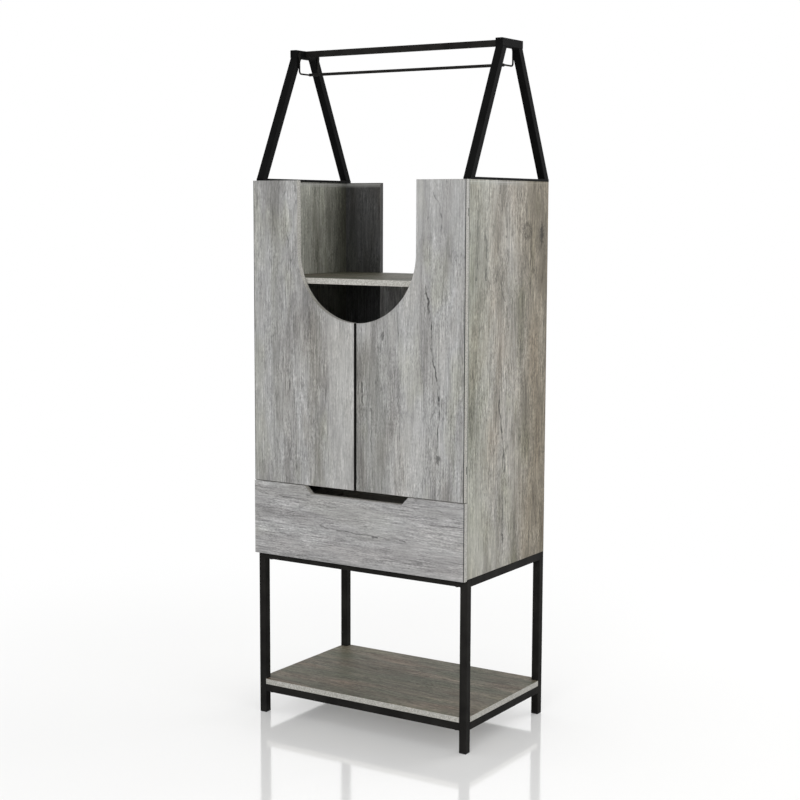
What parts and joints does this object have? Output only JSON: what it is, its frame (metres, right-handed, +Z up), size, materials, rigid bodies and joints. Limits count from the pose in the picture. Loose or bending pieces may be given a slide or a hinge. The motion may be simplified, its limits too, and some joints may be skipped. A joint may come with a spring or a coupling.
{
  "type": "wine cabinet",
  "caption": "Tall free-standing wine cabinet: grey oak carcass with doors sharing a U-shaped cut-out, a drawer, a tube base with a low shelf, and tube frames with a hanging rod on top.",
  "frame": {"origin": "on the floor, below the middle of the cabinet's bounding box", "axes": "+Z up, +X to the right as seen from the front, the doors and drawer face -Y"},
  "size_m": [0.655, 0.4296, 1.8],
  "materials": {
    "oak_front": "weathered grey oak laminate, matt",
    "oak_side": "weathered grey oak laminate, matt",
    "oak_shelf": "weathered grey oak laminate, matt",
    "oak_back": "weathered grey oak laminate, matt",
    "drawer_board": "plain grey laminate, matt",
    "black_steel": "black powder coat, satin",
    "zinc_steel": "zinc plated",
    "black_plastic": "matt black"
  },
  "bodies": {
    "cabinet": {"left_side_panel": "oak_side", "right_side_panel": "oak_side", "bottom_panel": "oak_shelf", "divider_panel": "oak_shelf", "upper_shelf": "oak_shelf", "left_back_stile": "oak_back", "right_back_stile": "oak_back", "back_panel": "oak_back", "lower_shelf": "oak_shelf", "front_left_leg": "black_steel", "front_right_leg": "black_steel", "rear_left_leg": "black_steel", "rear_right_leg": "black_steel", "upper_front_rail": "black_steel", "upper_rear_rail": "black_steel", "upper_left_rail": "black_steel", "upper_right_rail": "black_steel", "lower_front_rail": "black_steel", "lower_rear_rail": "black_steel", "lower_left_rail": "black_steel", "lower_right_rail": "black_steel", "foot_glides": "black_plastic", "frame_bolts": "black_steel", "left_aframe_strip": "black_steel", "left_aframe_front_leg": "black_steel", "left_aframe_rear_leg": "black_steel", "left_aframe_bar": "black_steel", "right_aframe_strip": "black_steel", "right_aframe_front_leg": "black_steel", "right_aframe_rear_leg": "black_steel", "right_aframe_bar": "black_steel", "strip_screws": "black_steel", "top_rail": "black_steel", "hanging_rod": "black_steel", "left_wire_hanger": "black_steel", "right_wire_hanger": "black_steel", "left_hinge_side_leaves": "zinc_steel", "right_hinge_side_leaves": "zinc_steel", "left_hinge_pins": "zinc_steel", "right_hinge_pins": "zinc_steel", "door_magnets": "black_plastic", "left_slide_rail": "zinc_steel", "right_slide_rail": "zinc_steel"},
    "left_door": {"left_door": "oak_front", "left_hinge_door_leaves": "zinc_steel", "left_strike_plate": "zinc_steel"},
    "right_door": {"right_door": "oak_front", "right_hinge_door_leaves": "zinc_steel", "right_strike_plate": "zinc_steel"},
    "drawer": {"drawer_front": "oak_front", "drawer_left_side": "drawer_board", "drawer_right_side": "drawer_board", "drawer_back": "drawer_board", "drawer_bottom": "drawer_board", "left_slide_runner": "zinc_steel", "right_slide_runner": "zinc_steel"},
    "ball_cages": {"slide_ball_cages": "zinc_steel"}
  },
  "joints": [
    {"name": "left_door_hinge", "type": "hinge", "parent": "cabinet", "child": "left_door", "pos_m": [-0.321, -0.20425, 1.049], "axis": [0, 0, -1], "range_deg": [0, 100]},
    {"name": "right_door_hinge", "type": "hinge", "parent": "cabinet", "child": "right_door", "pos_m": [0.321, -0.20425, 1.049], "axis": [0, 0, 1], "range_deg": [0, 100]},
    {"name": "drawer_slide", "type": "slide", "parent": "cabinet", "child": "drawer", "axis": [0, -1, 0], "range_m": [0, 0.24]},
    {"name": "cage_slide", "type": "slide", "parent": "cabinet", "child": "ball_cages", "axis": [0, -1, 0], "range_m": [0, 0.12]}
  ],
  "couplings": [
    {"joint": "cage_slide", "follows": "drawer_slide", "ratio": 0.5}
  ]
}
